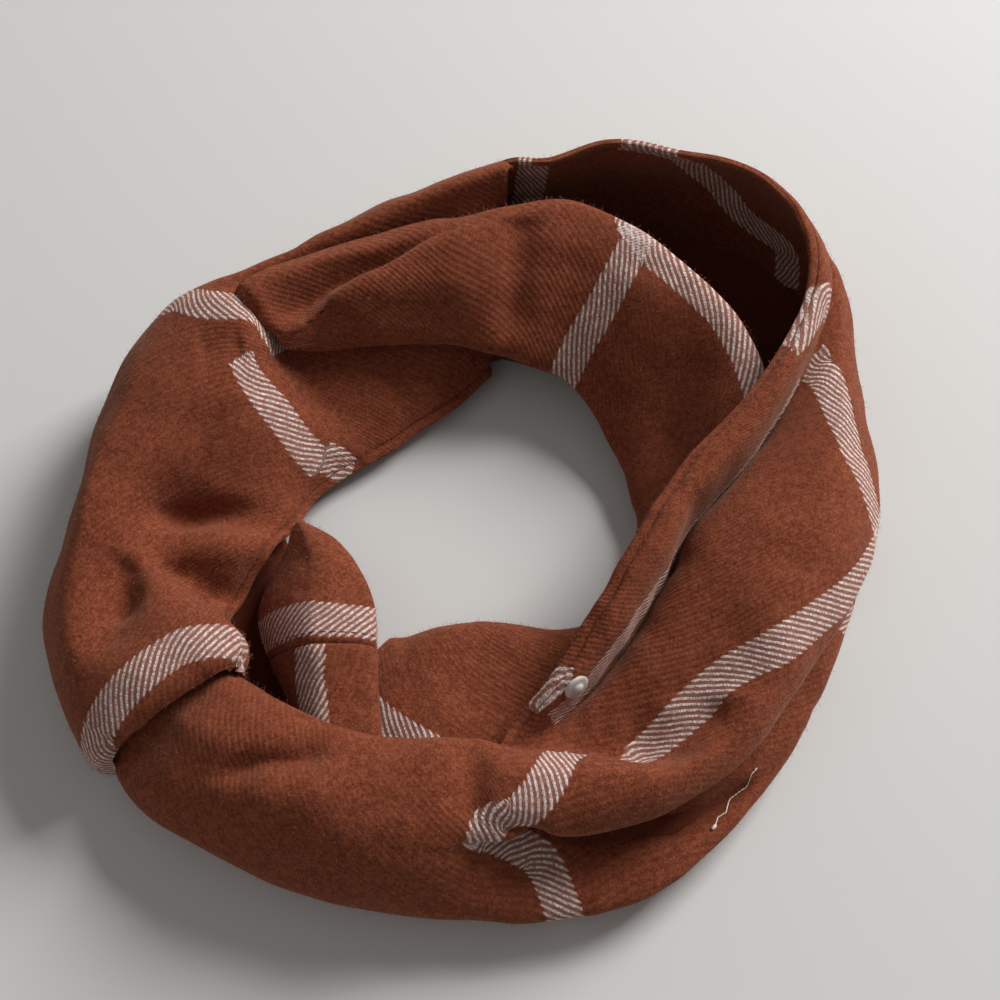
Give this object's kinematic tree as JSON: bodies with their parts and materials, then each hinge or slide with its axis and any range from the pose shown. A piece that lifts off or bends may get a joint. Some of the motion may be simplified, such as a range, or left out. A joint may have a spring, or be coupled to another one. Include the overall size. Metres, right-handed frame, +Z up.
{
  "type": "plaid infinity scarf",
  "caption": "Small closed-loop scarf of brushed plaid flannel, laid down doubled as a loose ring of soft folds, with a snap stud on its hem.",
  "frame": {"origin": "bottom centre of the bounding box, on the surface that the scarf lies on", "axes": "+Z up out of the ring; +Y towards the far side, where the ring is highest; +X to the right of that, along the longest extent"},
  "size_m": [0.2238, 0.2159, 0.0509],
  "materials": {
    "cloth": "brushed twill flannel, rust brown with wide off-white windowpane stripes",
    "snap": "off-white moulded plastic, satin"
  },
  "bodies": {
    "root": {"left_stretch": "cloth", "right_stretch": "cloth", "inner_stretch": "cloth", "flap_upper": "cloth", "flap_lower": "cloth", "hidden_layers": "cloth", "snap_stud": "snap"}
  },
  "joints": []
}
